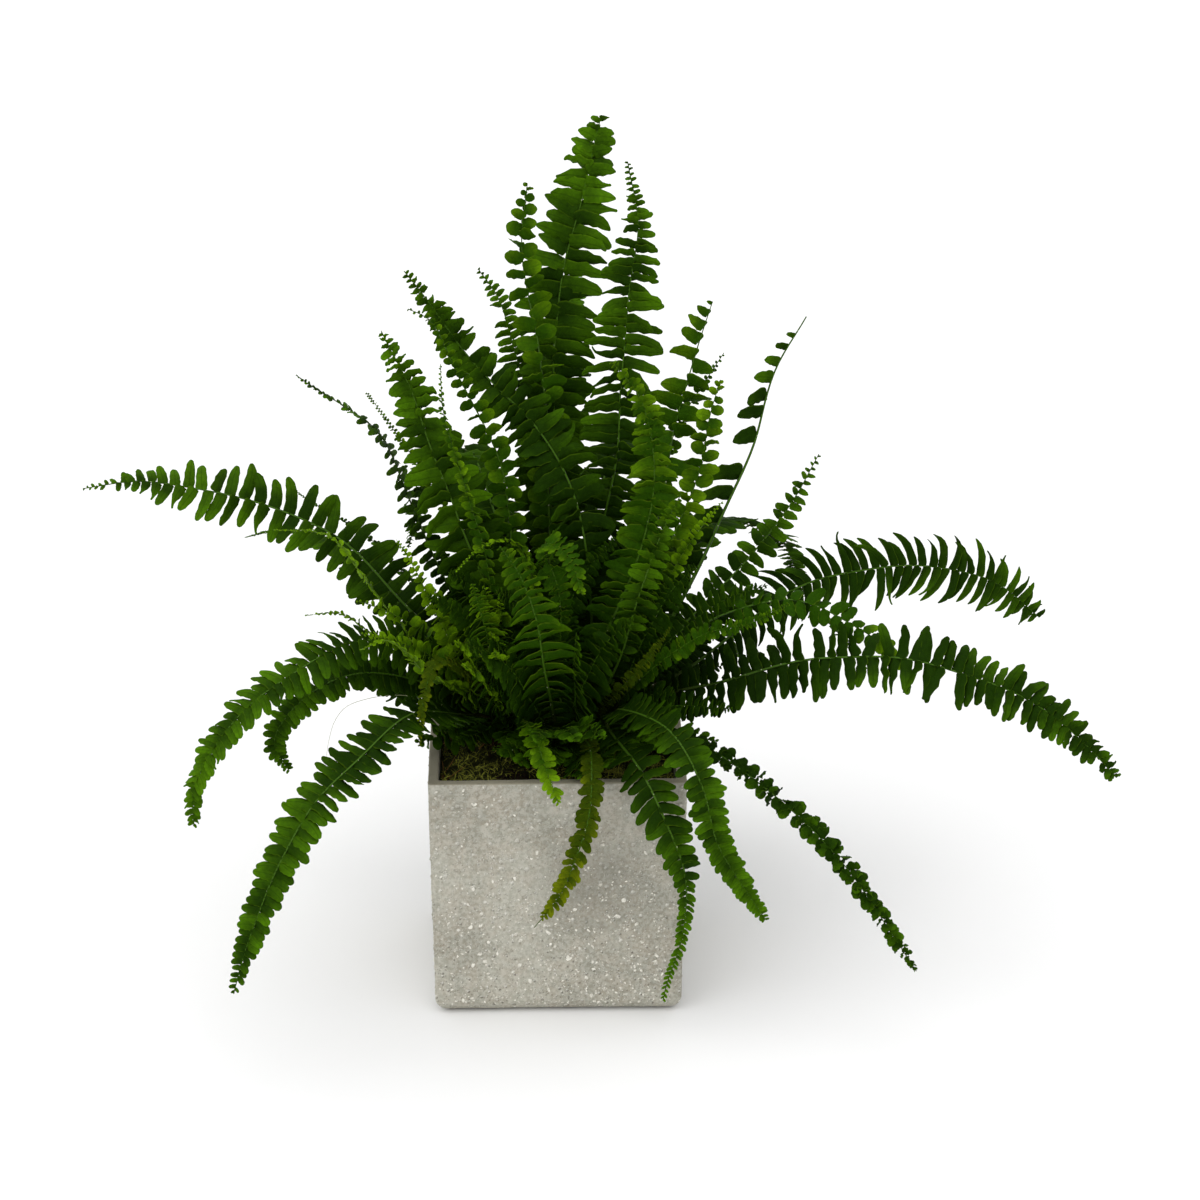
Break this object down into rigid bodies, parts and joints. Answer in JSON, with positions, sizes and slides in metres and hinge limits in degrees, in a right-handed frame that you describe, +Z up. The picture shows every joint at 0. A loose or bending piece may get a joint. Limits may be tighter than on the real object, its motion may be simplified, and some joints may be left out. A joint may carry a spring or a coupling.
{
  "type": "potted fern",
  "caption": "Sword fern with long upright and arching fronds, growing from short rootstocks in moss and soil in a square cast-concrete pot.",
  "frame": {"origin": "centre of the pot's flat underside", "axes": "+Z up out of the pot, -Y out of the pot's front face, +X to the viewer's right"},
  "size_m": [0.6468, 0.4241, 0.5383],
  "materials": {
    "concrete": "matte",
    "soil": "matte",
    "moss": "matte",
    "rootstock": "matte",
    "frond_deep": "satin",
    "frond_fresh": "satin",
    "frond_olive": "satin"
  },
  "bodies": {
    "root": {"pot": "concrete", "soil": "soil", "moss": "moss", "crown_left": "rootstock", "crown_right": "rootstock", "crown_back": "rootstock", "crown_front": "rootstock", "frond_upright_1": "frond_deep", "frond_upright_2": "frond_deep", "frond_upright_3": "frond_fresh", "frond_upright_4": "frond_deep", "frond_upright_5": "frond_deep", "frond_upright_6": "frond_fresh", "frond_upright_7": "frond_deep", "frond_upright_8": "frond_fresh", "frond_upright_9": "frond_fresh", "frond_upright_10": "frond_fresh", "frond_upright_11": "frond_deep", "frond_upright_12": "frond_fresh", "frond_upright_13": "frond_fresh", "frond_left_1": "frond_deep", "frond_left_2": "frond_fresh", "frond_left_3": "frond_deep", "frond_left_4": "frond_fresh", "frond_left_5": "frond_fresh", "frond_left_6": "frond_deep", "frond_left_7": "frond_deep", "frond_left_8": "frond_deep", "frond_left_9": "frond_deep", "frond_left_10": "frond_olive", "frond_left_11": "frond_fresh", "frond_right_1": "frond_deep", "frond_right_2": "frond_deep", "frond_right_3": "frond_deep", "frond_right_4": "frond_deep", "frond_right_5": "frond_fresh", "frond_right_6": "frond_fresh", "frond_right_7": "frond_fresh", "frond_right_8": "frond_olive", "frond_right_9": "frond_deep", "frond_front_1": "frond_fresh", "frond_front_2": "frond_fresh", "frond_front_3": "frond_fresh", "frond_front_4": "frond_fresh", "frond_front_5": "frond_deep", "frond_front_6": "frond_deep", "frond_front_7": "frond_deep", "frond_front_8": "frond_deep", "frond_front_9": "frond_olive", "frond_front_10": "frond_fresh", "frond_back_1": "frond_deep", "frond_back_2": "frond_deep", "frond_back_3": "frond_deep", "frond_back_4": "frond_deep", "frond_back_5": "frond_deep", "frond_back_6": "frond_deep", "frond_back_7": "frond_fresh", "frond_back_8": "frond_deep", "frond_back_9": "frond_deep", "frond_back_10": "frond_deep"}
  },
  "joints": []
}
